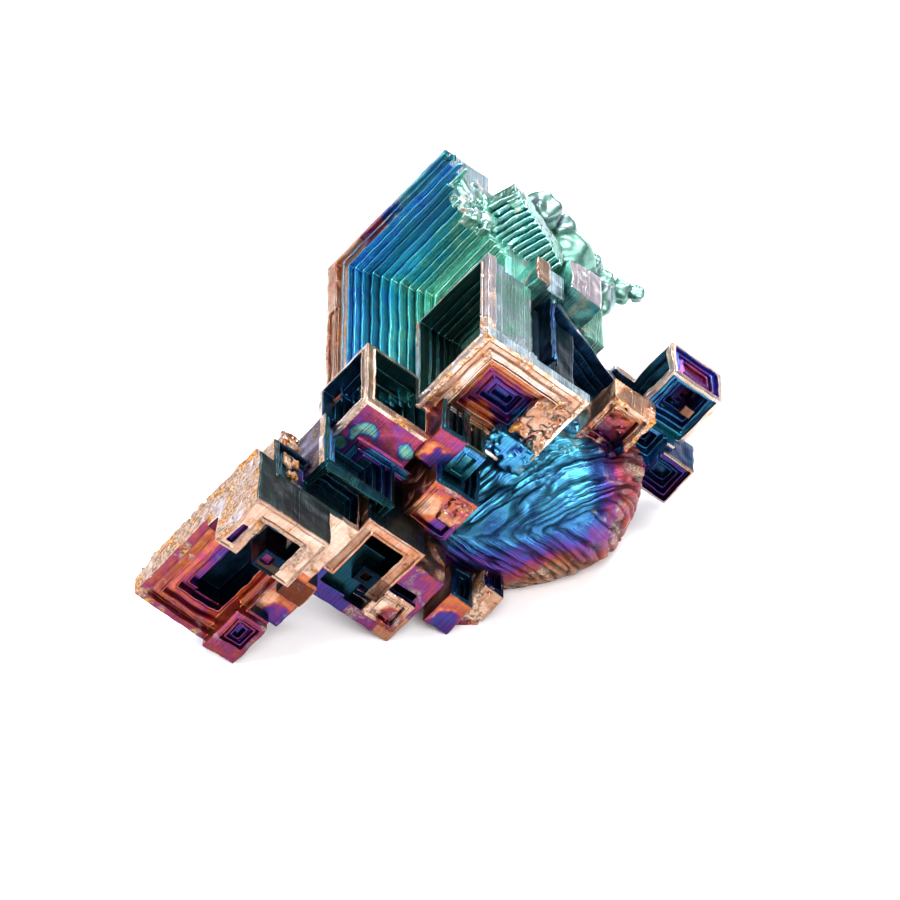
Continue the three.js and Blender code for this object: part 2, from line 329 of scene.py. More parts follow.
def pit(low, high, face, steps, run=0.7, drop=0.8, rims=None, first=None, film=(0.5, 0.04),
        crust=(0.0, 0.0), shade=(0.0, 0.06), lip=(0.16, 0.1), groove=(0.14, 0.3), tone=0.0, seed=1):
    """A terraced pit in one face of the box low..high, as a list of boxes to cut and grow: step
    k is smaller than the last by one run and deeper by one drop, each varied a little. A lip
    runs round the edge of every step and a groove along its foot. Where a rim is negative the
    pit is open. film, crust and shade are each a first value and its change per step, and tone
    is how much the shade differs at random between steps. The shade is painted shade, mostly
    darker step by step, and painted light where it is below zero."""
    draw = np.random.default_rng(seed)
    tones = np.random.default_rng(seed + 1000).uniform(-tone, tone, steps)
    axis = AXES.index(face[1])
    sides = [i for i in range(3) if i != axis]
    rims = rims or {}
    inset = {i: list(rims.get(AXES[i], (1.2, 1.2))) for i in sides}
    runs = run if isinstance(run, dict) else {AXES[i]: (run, run) for i in sides}
    outward = -1 if face[0] == "-" else 1
    surface = low[axis] if outward < 0 else high[axis]
    depth_before = 0.0
    depth = drop if first is None else first
    boxes = []

    def slab(kind, margin, shallow, deep, marks):
        start, end = list(low), list(high)
        for i in sides:
            start[i] = low[i] - 1 if inset[i][0] < 0 else low[i] + inset[i][0] + margin
            end[i] = high[i] + 1 if inset[i][1] < 0 else high[i] - inset[i][1] - margin
            if end[i] - start[i] < LEAST_STEP:
                return False
        levels = sorted((surface - outward * shallow, surface - outward * deep))
        start[axis], end[axis] = levels
        boxes.append(kind(start, end, *marks))
        return True

    for k in range(steps):
        step_film = film[0] + k * film[1] + draw.uniform(-0.02, 0.02)
        step_shade = min(0.9, shade[0] + k * shade[1] + tones[k])
        marks = (step_film, max(0, crust[0] + k * crust[1]), step_shade)
        if lip[1] > 0:
            slab(grow, -lip[0], depth_before - lip[1], depth_before, (None, None, None))
        if not slab(cut, 0, -3, depth + groove[1], marks):
            break
        slab(grow, groove[0], depth, depth + groove[1], (None, None, None))
        depth_before = depth
        depth += drop * draw.uniform(0.8, 1.2)
        for i in sides:
            for end in (0, 1):
                if inset[i][end] >= 0:
                    inset[i][end] += runs[AXES[i]][end] * draw.uniform(0.75, 1.25)
    return boxes


def grid_lines(marks, pitch):
    """Grid lines along one axis: every mark, a line close to each end of a wide gap between two
    marks to round the edges there, and even lines between them no further apart than pitch."""
    marks = np.unique(np.round(marks, 3))
    marks = marks[np.insert(np.diff(marks) > LEAST_GAP, 0, True)]
    wide = np.diff(marks) > WIDE_GAP
    lines = np.sort(np.concatenate([marks, marks[:-1][wide] + SOFTEN, marks[1:][wide] - SOFTEN]))
    counts = np.ceil(np.diff(lines) / pitch).astype(int)
    runs = [np.linspace(s, e, n, endpoint=False) for s, e, n in zip(lines[:-1], lines[1:], counts)]
    return np.concatenate([*runs, lines[-1:]])


def neighbours(i):
    """Two slices that pair every cell with the next one along axis i."""
    lead, tail = [slice(None)] * 3, [slice(None)] * 3
    lead[i], tail[i] = slice(0, -1), slice(1, None)
    return tuple(lead), tuple(tail)


def clear_border(cells):
    """Sets the outermost layer of cells on all six sides to false."""
    for i in range(3):
        side = np.moveaxis(cells, i, 0)
        side[0], side[-1] = False, False


def cell_surface(boxes, film, crust, shade, pitch, nibble, seed):
    """The surface of a set of boxes of cells: vertices, quads facing out, and the film, crust and
    shade of the air cell that each quad faces. nibble is how much of the crusted surface is
    eaten away or grown over, cell by cell."""
    corners = np.array([[box[1], box[2]] for box in boxes])
    solids = np.array([[box[1], box[2]] for box in boxes if box[0]])
    low, high = solids[:, 0].min(0) - 0.5, solids[:, 1].max(0) + 0.5
    lines = []
    for i in range(3):
        marks = np.clip(corners[:, :, i].ravel(), low[i], high[i])
        lines.append(grid_lines(marks, pitch))
    middles = [(line[:-1] + line[1:]) / 2 for line in lines]
    shape = tuple(len(middle) for middle in middles)
    metal = np.zeros(shape, bool)
    marks = [np.full(shape, value, np.float32) for value in (film, crust, shade)]
    for kind, start, end, *values in boxes:
        span = tuple(slice(*np.searchsorted(middles[i], (start[i], end[i]))) for i in range(3))
        if kind is not None:
            metal[span] = kind
        wide = tuple(slice(max(part.start - 1, 0), part.stop + 1) for part in span)
        for mark, value in zip(marks, values):
            if value is not None:
                mark[span] = value
            if kind is False and value is not None:
                mark[wide][metal[wide]] = value
    clear_border(metal)
    if nibble:
        near = np.zeros(shape, bool)
        for i in range(3):
            change = np.diff(metal.astype(np.int8), axis=i) != 0
            for side in neighbours(i):
                near[side] |= change
        clear_border(near)
        index = np.argwhere(near)
        places = np.stack([middles[i][index[:, i]] for i in range(3)], axis=1)
        rough = wander(places, 0.55, seed) + 0.6 * wander(places, 0.27, seed + 1)
        amount = nibble * marks[1][near]
        here = metal[near]
        here &= ~(rough > 1.6 - 2.2 * amount)
        here |= rough < -1.6 + 2.0 * amount
        metal[near] = here

    vertex_ids = np.arange(np.prod([n + 1 for n in shape])).reshape([n + 1 for n in shape])
    quads, values = [], []
    for i in range(3):
        ahead, step_j, step_k = np.roll(np.eye(3, dtype=int), -i, axis=0)
        lead, tail = neighbours(i)
        for sign, solid, air in ((1, lead, tail), (-1, tail, lead)):
            wall = np.argwhere(metal[solid] & ~metal[air])
            start = wall + ahead
            ring = [start, start + step_j, start + step_j + step_k, start + step_k]
            if sign < 0:
                ring.reverse()
            quads.append(np.stack([vertex_ids[tuple(r.T)] for r in ring], axis=1))
            faced = [mark[air][tuple(wall.T)] for mark in marks]
            faced[0] = faced[0] + FACET_FILM[i]
            values.append(np.stack(faced, axis=1))
    quads = np.concatenate(quads)
    values = np.concatenate(values)
    used, quads = np.unique(quads, return_inverse=True)
    quads = quads.reshape(-1, 4)
    at = np.stack(np.unravel_index(used, vertex_ids.shape), axis=1)
    points = np.stack([lines[i][at[:, i]] for i in range(3)], axis=1)
    return points, quads, values


def rounded(points, quads):
    """Each vertex moved half way to the mean of its neighbours, which rounds the edges."""
    total = np.zeros_like(points)
    count = np.zeros(len(points))
    for i in range(4):
        one, other = quads[:, i], quads[:, (i + 1) % 4]
        for own, near in ((one, other), (other, one)):
            for axis in range(3):
                total[:, axis] += np.bincount(own, points[near, axis], len(points))
            count += np.bincount(own, minlength=len(points))
    return points + 0.5 * (total / count[:, None] - points)


def put_in_scene(name, points, faces, values, material=OXIDE):
    """A finished piece from vertices in part millimetres, faces and the film, crust and painted
    shade at their corners. It rides on the one body, and stands for the solid."""
    places = np.clip(points * MM, cad_low, cad_high)
    mesh = bpy.data.meshes.new(name)
    mesh.from_pydata(places.tolist(), [], faces.tolist())
    growth_and_shade = mesh.attributes.new("growth_and_shade", "FLOAT_VECTOR", "CORNER")
    growth_and_shade.data.foreach_set("vector", np.ascontiguousarray(values, np.float32).ravel())
    mesh.polygons.foreach_set("use_smooth", np.ones(len(faces), bool))
    mesh.materials.append(material)
    mesh.update()
    piece = bpy.data.objects.new(name, mesh)
    bpy.context.scene.collection.objects.link(piece)
    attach(piece, "root")
    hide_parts(NODE)
    return piece


def stepped_crystal(name, boxes, film=0.3, crust=0.0, shade=0.0, drift=(0, 0, 0), turn=LATTICE_TURN,
                    pivot=(0, 0), waver=0.07, melt=1, pitch=CELL, nibble=0.0,
                    patches=(), seed=1):
    """A piece made of boxes of cells. drift is the change of the film along a, b and c per
    millimetre from the first box's corner. The edges waver a little, as grown ones do, and
    melt is how many times they are rounded. A patch is a centre, a radius, and the film and
    shade that the surface takes inside it, over an edge of PATCH_EDGE that wanders."""
    points, quads, values = cell_surface(boxes, film, crust, shade, pitch, nibble, seed)
    at_corner = np.repeat(values, 4, axis=0)
    at_corner[:, 0] += (points[quads.ravel()] - np.array(boxes[0][1])) @ np.array(drift)
    place = points[quads.ravel()]
    for centre, radius, patch_film, patch_shade in patches:
        reach = np.linalg.norm(place - centre, axis=1) + 0.3 * radius * wander(place, 0.7, seed)
        inside = np.clip((radius - reach) / PATCH_EDGE + 0.5, 0, 1)
        at_corner[:, 0] += inside * (patch_film - at_corner[:, 0])
        at_corner[:, 2] += inside * (patch_shade - at_corner[:, 2])
    for _ in range(melt):
        points = rounded(points, quads)
    wide = np.stack([wander(points, 2.6, seed + i) for i in range(3)], axis=1)
    small = np.stack([wander(points, 0.9, seed + 5 + i) for i in range(3)], axis=1)
    points = points + waver * (wide + 0.5 * small)
    extra = turn - LATTICE_TURN
    a, b = points[:, 0] - pivot[0], points[:, 1] - pivot[1]
    points[:, 0] = pivot[0] + a * math.cos(extra) - b * math.sin(extra)
    points[:, 1] = pivot[1] + a * math.sin(extra) + b * math.cos(extra)
    return put_in_scene(name, upright(points), quads, at_corner)


low, high = (-18.7, -22.1, -17.0), (-7.3, -5.1, 6.3)
stepped_crystal(
    "large_hopper",
    pitch=0.5,
    boxes=[
        grow(low, high),
        paint((-19.7, -23.5, -18), (-7, -21.9, 7), film=1.0, crust=0.25),
        paint((-19.7, -5.5, -17), (-18.6, -5, 6.4), film=0.18, crust=0.5),
        *pit(
            low, high, "-a", 1, rims={"b": (-1, 0.45), "c": (0.6, 8)}, first=0.15, film=(0.27, 0),
            crust=(0.25, 0), shade=(0.15, 0), lip=(0.2, 0.0), groove=(0.1, 0.1),
        ),
        *pit(
            low, high, "-a", 1, rims={"b": (-1, 1.45), "c": (0.6, 0.9)}, first=0.4, film=(0.2, 0),
            crust=(0.3, 0), shade=(0.15, 0), lip=(0.15, 0.15), groove=(0.1, 0.1),
        ),
        paint((-19.7, -23, 4.0), (-18.25, -15.5, 6.4), film=0.72, crust=0.1),
        paint((-19.7, -15.5, 4.0), (-18.25, -13, 6.4), film=0.56, crust=0.2),
        paint((-19.7, -13, 4.0), (-18.25, -10, 6.4), film=0.38, crust=0.2),
        # Painted light: the shade below zero lightens the terraces of the hopper, and tone varies it from
        # step to step.
        *pit(
            low, high, "-a", 13, run=0.45, drop=0.64, rims={"b": (-1, 2.6), "c": (-1, 2.1)},
            film=(0.63, 0.024), first=0.9, shade=(-0.3, -0.02), lip=(0.16, 0.14), groove=(0.15, 0.45),
            tone=0.3, seed=14,
        ),
        # Painted shade on the front face, behind the post.
        paint((-19.7, -24, -18), (-6, -5, -17), film=0.7, crust=0.0, shade=0.6),
        cut((-13.6, -24, -18), (-7, -20.6, 7), film=0.9, crust=0.2),
        cut((-19.5, -24, -18), (-7, -20.9, 3.4), film=0.9, crust=0.2),
        *pit(low, high, "+c", 5, run=0.8, rims={"a": (1.3, 1.3), "b": (1.4, 1.4)}, film=(0.5, 0.05)),
        *pit(low, high, "+b", 4, run=0.9, rims={"a": (1.3, 1.3), "c": (8, 1.4)}, film=(0.45, 0.05)),
    ],
    film=0.3,
    crust=0.25,
    nibble=0.25,
    seed=11,
)

# The post in the middle, which stands out in front. Its front face is a square hopper with a
# broad tan rim, then copper, violet and blue terraces. Its left face is a deep slotted pit, and
# its upper right face falls away behind the rim.
low, high = (-14.2, -22.7, -20.0), (-2.5, -12.5, -7.0)
stepped_crystal(
    "middle_post",
    [
        grow(low, high),
        paint((-15.2, -24, -20), (-2, -22.6, -7), film=1.0, crust=0.2),
        paint((-15.2, -24, -18.5), (-13.3, -22.6, -7), film=0.0, crust=0.3),
        # Painted light on the front face and its tan rim.
        paint((-15.2, -24, -21), (-2, -12, -20), film=0.12, crust=0.6, shade=-0.7),
        # Painted shade in the notch cut from the upper right face.
        cut((-8.6, -24, -18.8), (-1.5, -20.5, -6), film=0.6, shade=0.9),
        cut((-13.2, -24, -18.4), (-8, -22.3, -6), film=0.96, crust=0.2),
        cut((-12.2, -24, -17.4), (-8, -22.0, -6), film=0.93, crust=0.12),
        # Painted light on the outer two steps of the front hopper.
        *pit(
            low, high, "-c", 1, rims={"a": (0.45, 0.45), "b": (0.45, 0.45)}, first=0.12, film=(0.22, 0),
            crust=(0.42, 0), shade=(-0.3, 0), lip=(0.15, 0.0), groove=(0.1, 0.1),
        ),
        *pit(
            low, high, "-c", 1, rims={"a": (1.25, 1.25), "b": (1.25, 1.25)}, first=0.3, film=(0.12, 0),
            crust=(0.5, 0), shade=(-0.5, 0), lip=(0.15, 0.12), groove=(0.1, 0.1),
        ),
        *pit(
            low, high, "-c", 6, run=0.7, drop=0.4, rims={"a": (2.0, 2.2), "b": (2.0, 1.9)}, first=0.5,
            film=(0.3, 0.055), crust=(0.15, -0.1), lip=(0.14, 0.12), seed=8,
        ),
        # Painted shade in the slotted pit of the left face, darker step by step.
        *pit(
            low, high, "-a", 9, run={"b": (0.5, 0.2), "c": (0.3, 0.3)}, drop=0.6,
            rims={"b": (0.9, 0.7), "c": (0.9, 0.6)}, first=1.2, film=(0.78, 0.015), shade=(0.76, 0.02),
            lip=(0.14, 0.2), groove=(0.2, 0.6), seed=5,
        ),
    ],
    film=0.08,
    crust=0.45,
    nibble=0.55,
    # The first patch is gold with painted light on it.
    patches=[
        ((-9.0, -15.0, -19.6), 1.5, 0.24, -0.3),
        ((-5.2, -17.0, -19.2), 1.6, 0.62, 0.1),
    ],
    seed=21,
)

# The cube with the raspberry face, in front of the left rim of the large hopper. A peach edge
# stands between its two pits, dark with painted shade, and forks over the raspberry face.
low, high = (-19.8, -12.6, -24.0), (-12.6, -5.7, -15.0)
stepped_crystal(
    "raspberry_cube",
    [
        grow(low, high),
        # Painted light on the raspberry face.
        paint((-20.8, -13.6, -25.5), (-11, -4, -24.0), film=0.385, crust=0.0, shade=-0.3),
        paint((-19.9, -12.7, -25.5), (-19.4, -4, -24.0), film=0.12, crust=0.5),
        paint((-19.9, -12.7, -25.5), (-11, -12.25, -24.0), film=0.12, crust=0.5),
        # Painted light on the first step of the front pit, then painted shade deeper in the next pit.
        *pit(
            low, high, "-c", 1, rims={"a": (2.2, -1), "b": (3.9, -1)}, first=0.2, film=(0.65, 0.0),
            shade=(-0.2, 0.0), seed=3,
        ),
        *pit(
            low, high, "-c", 4, run={"a": (0.8, 0.3), "b": (0.5, 0.3)}, drop=0.7,
            rims={"a": (2.9, -1), "b": (4.7, -1)}, first=0.35, film=(0.46, 0.05), shade=(-0.1, 0.35),
            seed=3,
        ),
        # Painted shade in the pits of the left and upper right faces.
        *pit(
            low, high, "-a", 4, run=0.4, drop=0.8, rims={"b": (0.8, 0.6), "c": (0.9, 0.7)}, first=1.2,
            film=(0.6, 0.03), shade=(0.6, 0.08), seed=6,
        ),
        *pit(
            low, high, "-b", 4, run=0.4, drop=1.0, rims={"a": (0.9, 0.6), "c": (0.9, 0.7)}, first=1.2,
            film=(0.78, 0.03), shade=(0.6, 0.08), seed=7,
        ),
    ],
    film=0.14,
    crust=0.3,
    patches=[
        ((-17.6, -9.5, -24.0), 1.3, 0.87, -0.2),
        ((-17.0, -8.8, -24.0), 1.0, 0.385, -0.2),
        ((-13.4, -10.3, -24.0), 0.8, 0.86, 0.0),
        ((-18.8, -7.4, -24.0), 0.7, 0.9, 0.1),
    ],
    seed=31,
)

# The crystal at the far left: a hooked arm in front, with a deep well inside it, on a longer
# back level whose terraces meet in nested corners. Crust has broken out along its upper side.
low, high = (-26.3, -5.7, -32.5), (-15.0, 12.2, -26.9)
front = -37.5
foot_low, foot_high = (-18.4, 7.3, -33.4), (-15.0, 12.2, -29)
stepped_crystal(
    "left_crystal",
    [
        grow(low, high),
        grow((-26.3, -5.7, front), (-18.3, 1.6, -31.4)),
        cut((-27.4, -7, -30.3), (-24.7, 13, -26), film=0.2, crust=0.7),
        paint((-27.4, -7, -38), (-26.2, 13, -26), film=0.08, crust=0.8),
        # Painted shade: dark on the upper right face, slight on the front of the arm and of the back level.
        paint((-27.4, -7, -37.4), (-17, -5.6, -26), film=0.96, crust=0.1, shade=0.82),
        paint((-27.4, -7, -38.5), (-18, 2, front), film=0.2, crust=0.45, shade=0.12),
        paint((-27.4, 1.6, -34), (-14, 13, -32.5), film=0.36, crust=0.3, shade=0.2),
        # Painted shade in the pit of the upper right face, and in the front hopper darker step by step.
        *pit(
            low, high, "-b", 2, run=0.5, drop=0.45, rims={"a": (2.0, 0.4), "c": (0.4, 0.5)}, first=0.4,
            film=(0.62, 0.03), shade=(0.8, 0.03), lip=(0.12, 0.2), seed=45,
        ),
        *pit(
            low, high, "-c", 1, rims={"a": (0.9, 2.4), "b": (1.3, 0.7)}, first=0.5, film=(0.3, 0),
            crust=(0.25, 0), seed=9,
        ),
        *pit(
            low, high, "-c", 4, run={"a": (1.0, 0.5), "b": (0.6, 0.85)}, drop=0.65,
            rims={"a": (1.9, 3.2), "b": (1.3, 1.6)}, first=1.0, film=(0.31, 0.07), shade=(0.0, 0.15),
            tone=0.3, seed=9,
        ),
        # Painted shade in the wells of the back level.
        cut((-21.6, 0.4, -33), (-18.8, 9.4, -28.4), film=0.6, shade=0.9),
        cut((-17.2, 1.9, -33), (-14, 7.0, -25), film=0.6, shade=0.7),
        grow((-16.6, 1.6, -32.4), (-13.9, 4.2, -29.0)),
        paint((-17, 1, -33), (-13, 5, -32.4), film=0.3, crust=0.3),
        grow(foot_low, foot_high),
        paint((-18.6, 7.1, -34.4), (-14.8, 12.4, -33.4), film=0.36, crust=0.2),
        *pit(
            foot_low, foot_high, "-c", 3, run=0.4, drop=0.22, rims={"a": (0.5, 0.5), "b": (0.5, 1.6)},
            film=(0.36, 0.06), shade=(0.1, 0.15), seed=10,
        ),
        # Painted shade in the deep well inside the arm and in the small pits of its front.
        cut((-24.1, -3.9, front - 1), (-20.2, 2, -30.8), film=0.6, shade=0.9),
        cut((-24.4, 0.3, front - 1), (-18, 2, -33.4), film=0.5, shade=0.8),
        cut((-26.6, 0.3, front - 1), (-24.3, 2, -33.8), film=0.4, shade=0.7),
        grow((-22.4, -1.9, front), (-20.2, 0.3, -34.0)),
        cut((-26.0, -5.3, front - 1), (-24.8, 0.0, front + 0.16), film=0.17, crust=0.3),
        cut((-26.0, -5.3, front - 1), (-18.6, -4.3, front + 0.16), film=0.17, crust=0.3),
        cut((-19.8, -5.3, front - 1), (-18.6, 0.0, front + 0.16), film=0.17, crust=0.3),
        cut((-22.2, -0.9, front - 1), (-18.6, 0.0, front + 0.16), film=0.17, crust=0.3),
        cut((-25.7, -2.6, front - 1), (-25.1, -0.4, front + 0.7), film=0.46, shade=0.3),
        cut((-22.0, -1.5, front - 1), (-21.0, -0.4, front + 0.6), film=0.4, shade=0.4),
        *pit(low, high, "+b", 2, run=0.8, rims={"a": (1.0, 1.0), "c": (0.9, 0.9)}),
        *pit(low, high, "+c", 2, run=0.9, drop=0.35, rims={"a": (3, 1.2), "b": (8, 1.3)}),
    ],
    film=0.16,
    crust=0.35,
    waver=0.12,
    nibble=0.35,
    seed=41,
)

# The crystal low in the middle: again a hooked front level on a longer back level, where the
# growth stopped in the middle of each face first and left a deep well.
low, high = (-14.6, -6.6, -31.0), (-8.3, 0.3, -23.0)
back_low, back_high = (-14.4, -4.6, -29.8), (-4.3, 3.6, -19.8)
stepped_crystal(
    "low_crystal",
    [
        grow(back_low, back_high),
        # Painted shade on the front face of the back level, less at its lower right end, and in its well.
        paint((-15.5, -5.5, -31), (-4, 4, -29.8), film=0.5, crust=0.2, shade=0.35),
        paint((-9.5, -5.5, -31), (-4, 4, -29.8), film=0.4, crust=0.3, shade=0.2),
        paint((-6.2, 0.4, -31), (-4, 4, -29.8), film=0.26, crust=0.4, shade=0.0),
        *pit(
            back_low, back_high, "-c", 4, run=0.6, drop=0.8, rims={"a": (4, 1.1), "b": (2.6, 1.3)},
            first=1.6, film=(0.6, 0.03), shade=(0.6, 0.1), seed=12,
        ),
        *pit(
            back_low, back_high, "+b", 3, run=0.9, drop=0.8, rims={"a": (1.1, 1.1), "c": (1.2, 1.2)},
            film=(0.4, 0.06), seed=13,
        ),
        grow(low, high),
        # Painted shade on the upper right face of the front level.
        paint((-15.5, -7.5, -31), (-8, -6.5, -22), film=0.7, crust=0.0, shade=0.85),
        paint((-15.5, -7.5, -32), (-8, 1, -31.0), film=0.24, crust=0.36),
        # Painted shade in the deep well of the front level.
        cut((-13.2, -5.2, -32), (-9.7, 2, -27.4), film=0.56, shade=0.94),
        cut((-12.4, -5.2, -32), (-9.7, 2, -26.8), film=0.6, shade=0.95),
        grow((-11.7, -2.2, -31), (-9.6, -0.4, -29.2)),
        cut((-14.3, -6.3, -32), (-13.5, 0, -30.82), film=0.24, crust=0.3),
        cut((-14.3, -6.3, -32), (-8.6, -5.5, -30.82), film=0.24, crust=0.3),
        cut((-9.4, -6.3, -32), (-8.6, -0.2, -30.82), film=0.24, crust=0.3),
        cut((-11.2, -1.7, -32), (-10.4, -0.9, -30.5), film=0.3, crust=0.2),
    ],
    film=0.24,
    crust=0.3,
    waver=0.12,
    nibble=0.4,
    seed=51,
)

# Crystals that join the left end to the middle. They lie deep between the others and are made
# dark all over by painted shade, with fine pale lines where the lips of their terraces catch the
# light.
low, high = (-21.0, -8.2, -29.6), (-13.0, -0.8, -22.2)
inner_low, inner_high = (-18.6, -3.0, -29.0), (-9.6, 3.0, -19.0)
stepped_crystal(
    "left_links",
    [
        grow((-23.6, -5.2, -31.6), (-16.7, 0.8, -26.2)),
        grow(low, high),
        grow(inner_low, inner_high),
        # Painted shade, a little lighter than the rest, on the left faces; none on the crusted edge.
        paint((-25, -6, -33), (-23.6, 1, -26), film=0.4, crust=0.5, shade=0.5),
        paint((-22.4, -9, -33), (-21.0, 1, -22), film=0.5, crust=0.45, shade=0.65),
        paint((-22.4, -9, -33), (-21.0, -7.4, -22), film=0.1, crust=0.6, shade=0.0),
        paint((-19.5, -4, -33), (-18.6, 3, -19), film=0.4, crust=0.5, shade=0.5),
        *pit(
            low, high, "-c", 7, run={"a": (0.5, 0.3), "b": (0.5, 0.3)}, drop=0.7,
            rims={"a": (0.5, 0.3), "b": (0.4, 0.3)}, film=(0.8, 0.01), shade=(0.5, 0.04), lip=(0.1, 0.2),
            seed=15,
        ),
        *pit(
            low, high, "-b", 4, run=0.6, drop=0.5, rims={"a": (0.5, 0.5), "c": (0.5, 0.5)},
            film=(0.6, 0.03), shade=(0.5, 0.05), seed=35,
        ),
        *pit(inner_low, inner_high, "+b", 3, seed=16),
    ],
    film=0.72,
    shade=0.82,
    nibble=0.3,
    seed=61,
)

# Small blocks between the raspberry cube, the post and the ribbed body. The first is the orange
# block with its rough crust, the next two are smooth raspberry and azure, and the others lie
# along the foot.
SMALL_BLOCKS = [
    ("orange_block", (-10.9, -11.4, -27.0), (-6.0, -6.4, -20.0), 0.32, 0.25, 1),
    ("raspberry_block", (-13.0, -14.6, -24.5), (-10.0, -10.4, -18.5), 0.385, 0.0, 0),
    ("azure_block", (-10.0, -14.4, -24.2), (-7.6, -11.0, -18.5), 0.64, 0.0, 1),
    ("red_foot_block", (-2.9, -3.6, -29.0), (-0.3, 0.4, -24.0), 0.33, 0.08, 0),
    ("tan_foot_block", (-0.4, -5.4, -27.4), (1.9, 0.6, -23.0), 0.24, 0.5, 0),
    ("gold_foot_block", (-8.4, -1.2, -30.2), (-4.8, 2.4, -25.2), 0.22, 0.4, 1),
    ("left_foot_block", (-17.6, 3.4, -31.4), (-13.6, 7.8, -27.4), 0.32, 0.3, 0),
]
for number, (name, low, high, film, crust, steps) in enumerate(SMALL_BLOCKS):
    # Two patches of film: the straw one also has painted light on it, the blue one a little painted shade.
    straw = ((low[0] + 1.2, low[1] + 2.6, low[2]), 1.2, film - 0.08, -0.4)
    blue = ((high[0] - 1, high[1] - 1, low[2]), 1.3, film + 0.14, 0.2)
    stepped_crystal(
        name,
        [
            grow(low, high),
            # Painted shade on the upper right face and in its pit.
            paint(
                (low[0] - 1, low[1] - 1, low[2]), (high[0] + 1, low[1], high[2]), film=film + 0.3,
                crust=0.0, shade=0.6,
            ),
            *pit(
                low, high, "-c", steps, run=0.5, drop=0.3, rims={"a": (0.6, 0.6), "b": (0.6, 0.6)},
                film=(film, 0.03), crust=(crust, -0.05), seed=70 + number,
            ),
            *pit(
                low, high, "-b", 2, run=0.5, drop=0.3, rims={"a": (0.5, 0.5), "c": (0.6, 0.6)},
                film=(film + 0.3, 0.05), shade=(0.6, 0.1), seed=80 + number,
            ),
        ],
        film=film,
        crust=crust,
        waver=0.14,
        patches=[straw, blue],
        nibble=0.9 if crust else 0.0,
        seed=90 + number,
    )

# The long crystal to the right of the post, turned about the c axis as the stack at the top is,
# and made dark by painted shade. Its upper face is a deep open trough with a pale back rim, and a
# tan block ends it.
STACK_TURN = LATTICE_TURN + math.radians(18.7)
low, high = (-6.1, -21.8, -15.0), (6.3, -13.8, -4.8)
stepped_crystal(
    "shaded_long_crystal",
    [
        grow(low, high),
        # Painted shade on the upper face, the left end and the front, and in the trough; the back rim is
        # pale.
        paint((-7, -23, -16), (7, -21.75, -4), film=0.62, crust=0.0, shade=0.6),
        paint((-7, -23, -6.2), (7, -21.75, -4), film=-0.05, crust=0.2, shade=0.0),
        paint((-7, -23, -16), (-6.1, -13, -4), film=0.6, crust=0.0, shade=0.7),
        paint((-7, -23, -16), (7, -13, -15.0), film=0.6, shade=0.7),
        *pit(
            low, high, "-b", 7, run=0.45, drop=0.8, rims={"a": (0.5, 0.7), "c": (-1, 1.2)}, first=1.0,
            film=(0.58, 0.02), shade=(0.6, 0.06), lip=(0.12, 0.2), seed=17,
        ),
    ],
    film=0.1,
    crust=0.2,
    turn=STACK_TURN,
    pivot=low[:2],
    waver=0.14,
    nibble=0.5,
    seed=101,
)
low, high = (1.3, -21.8, -14.4), (6.1, -15.7, -11.4)
stepped_crystal(
    "tan_block",
    [
        grow(low, high),
        paint((1.3, -22.5, -15.5), (6.2, -15, -14.4), film=0.2, crust=0.6),
        *pit(
            low, high, "-c", 2, run=0.5, drop=0.25, rims={"a": (0.5, 0.5), "b": (0.5, 1.2)},
            film=(0.22, 0.05), crust=(0.5, -0.1), seed=18,
        ),
    ],
    film=0.2,
    crust=0.4,
    # Painted light: a shade below zero lightens the whole block.
    shade=-0.5,
    drift=(0.0, 0.03, 0.0),
    waver=0.2,
    nibble=0.9,
    seed=102,
)

